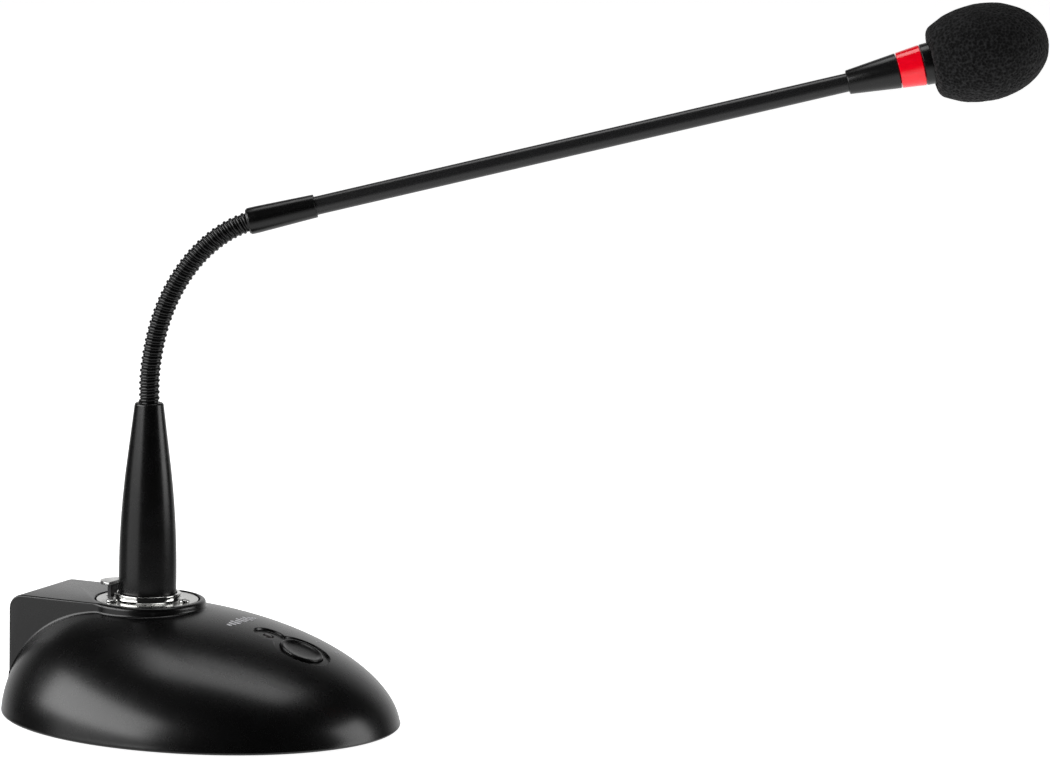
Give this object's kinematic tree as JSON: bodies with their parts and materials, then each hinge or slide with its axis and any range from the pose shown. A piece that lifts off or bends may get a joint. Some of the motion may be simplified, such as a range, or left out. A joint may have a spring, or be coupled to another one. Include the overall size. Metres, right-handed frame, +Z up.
{
  "type": "gooseneck conference microphone",
  "caption": "Desk gooseneck microphone with a domed talk-button base, plug-in sleeve, bendable neck, straight boom, red light ring and foam windscreen.",
  "frame": {"origin": "on the desk, on the axis of the round socket that the mic unit plugs into", "axes": "+Z up along the socket's axis; -Y towards the nose of the base with the talk button; +Y out of the flat rear panel with the cable connector"},
  "size_m": [0.1899, 0.3142, 0.2446],
  "materials": {
    "satin_black_plastic": "satin moulded black",
    "satin_black_metal": "satin black coating",
    "polished_nickel": "polished on the collar, satin on the flange",
    "zinc_plated_steel": "zinc plated",
    "contact_brass": "bright",
    "soft_black_rubber": "matt",
    "black_insulator": "matt",
    "green_board": "solder-masked board",
    "dark_red_lens": "smoked, glossy",
    "red_light_ring": "glossy translucent red",
    "black_foam": "open-cell foam"
  },
  "bodies": {
    "base": {"ballast_block": "zinc_plated_steel", "base_plate": "zinc_plated_steel", "base_shell": "satin_black_plastic", "board_screw_1": "zinc_plated_steel", "board_screw_2": "zinc_plated_steel", "circuit_board": "green_board", "flange_gasket": "soft_black_rubber", "flange_screw_1": "polished_nickel", "flange_screw_2": "polished_nickel", "flange_screw_3": "polished_nickel", "output_insert": "black_insulator", "output_pin_1": "contact_brass", "output_pin_2": "contact_brass", "output_pin_3": "contact_brass", "output_screw_1": "zinc_plated_steel", "output_screw_2": "zinc_plated_steel", "output_shell": "satin_black_metal", "plate_screw_1": "zinc_plated_steel", "plate_screw_2": "zinc_plated_steel", "plate_screw_3": "zinc_plated_steel", "plate_screw_4": "zinc_plated_steel", "rest_pad": "soft_black_rubber", "socket_contact_1": "contact_brass", "socket_contact_2": "contact_brass", "socket_contact_3": "contact_brass", "socket_insert": "black_insulator", "socket_shell": "polished_nickel", "status_lens": "dark_red_lens", "switch_body": "zinc_plated_steel"},
    "release_tab": {"release_tab": "polished_nickel"},
    "talk_button": {"talk_button": "satin_black_plastic"},
    "mic_unit": {"plug_sleeve": "satin_black_metal", "plug_barrel": "polished_nickel", "plug_insert": "black_insulator", "plug_pin_1": "contact_brass", "plug_pin_2": "contact_brass", "plug_pin_3": "contact_brass"},
    "neck_0": {"neck_link_0": "satin_black_metal"},
    "neck_1": {"neck_link_1": "satin_black_metal"},
    "neck_2": {"neck_link_2": "satin_black_metal"},
    "neck_3": {"neck_link_3": "satin_black_metal"},
    "neck_4": {"neck_link_4": "satin_black_metal"},
    "neck_5": {"neck_link_5": "satin_black_metal"},
    "neck_6": {"neck_link_6": "satin_black_metal"},
    "boom": {"neck_ferrule": "satin_black_metal", "boom_tube": "satin_black_metal", "head_cone": "satin_black_metal", "light_ring": "red_light_ring", "light_carrier": "black_insulator", "head_collar": "satin_black_metal", "capsule_grille": "zinc_plated_steel", "mic_capsule": "zinc_plated_steel", "capsule_grommet": "soft_black_rubber"},
    "windscreen": {"foam_windscreen": "black_foam"}
  },
  "joints": [
    {"name": "mic_unplug", "type": "slide", "parent": "base", "child": "mic_unit", "axis": [0, 0, 1], "range_m": [0, 0.03]},
    {"name": "tab_press", "type": "slide", "parent": "base", "child": "release_tab", "axis": [0, 0, 1], "range_m": [-0.002, 0], "stiffness_N_per_m": 400},
    {"name": "talk_press", "type": "slide", "parent": "base", "child": "talk_button", "axis": [0, -0.3746, 0.9272], "range_m": [-0.0011, 0], "stiffness_N_per_m": 600},
    {"name": "neck_swing", "type": "hinge", "parent": "mic_unit", "child": "neck_0", "pos_m": [0, 0, 0.1], "axis": [0, 0, 1], "range_deg": [-115, 65]},
    {"name": "neck_bend_1", "type": "hinge", "parent": "neck_0", "child": "neck_1", "pos_m": [0, 0, 0.1171], "axis": [0.9063, 0.4226, 0], "range_deg": [-10.82, 4.86]},
    {"name": "neck_bend_2", "type": "hinge", "parent": "neck_1", "child": "neck_2", "pos_m": [0.00118, -0.00253, 0.13173], "axis": [0.9063, 0.4226, 0], "range_deg": [-10.82, 4.86]},
    {"name": "neck_bend_3", "type": "hinge", "parent": "neck_2", "child": "neck_3", "pos_m": [0.00315, -0.00676, 0.14349], "axis": [0.9063, 0.4226, 0], "range_deg": [-10.82, 4.86]},
    {"name": "neck_bend_4", "type": "hinge", "parent": "neck_3", "child": "neck_4", "pos_m": [0.00559, -0.01199, 0.15255], "axis": [0.9063, 0.4226, 0], "range_deg": [-10.82, 4.86]},
    {"name": "neck_bend_5", "type": "hinge", "parent": "neck_4", "child": "neck_5", "pos_m": [0.00823, -0.01766, 0.15919], "axis": [0.9063, 0.4226, 0], "range_deg": [-10.82, 4.86]},
    {"name": "neck_bend_6", "type": "hinge", "parent": "neck_5", "child": "neck_6", "pos_m": [0.01088, -0.02334, 0.16373], "axis": [0.9063, 0.4226, 0], "range_deg": [-10.82, 4.86]},
    {"name": "neck_bend_7", "type": "hinge", "parent": "neck_6", "child": "boom", "pos_m": [0.0134, -0.02873, 0.16652], "axis": [0.9063, 0.4226, 0], "range_deg": [-10.82, 4.86]},
    {"name": "windscreen_pull", "type": "slide", "parent": "boom", "child": "windscreen", "axis": [0.4096, -0.8784, 0.2462], "range_m": [0, 0.035]}
  ]
}
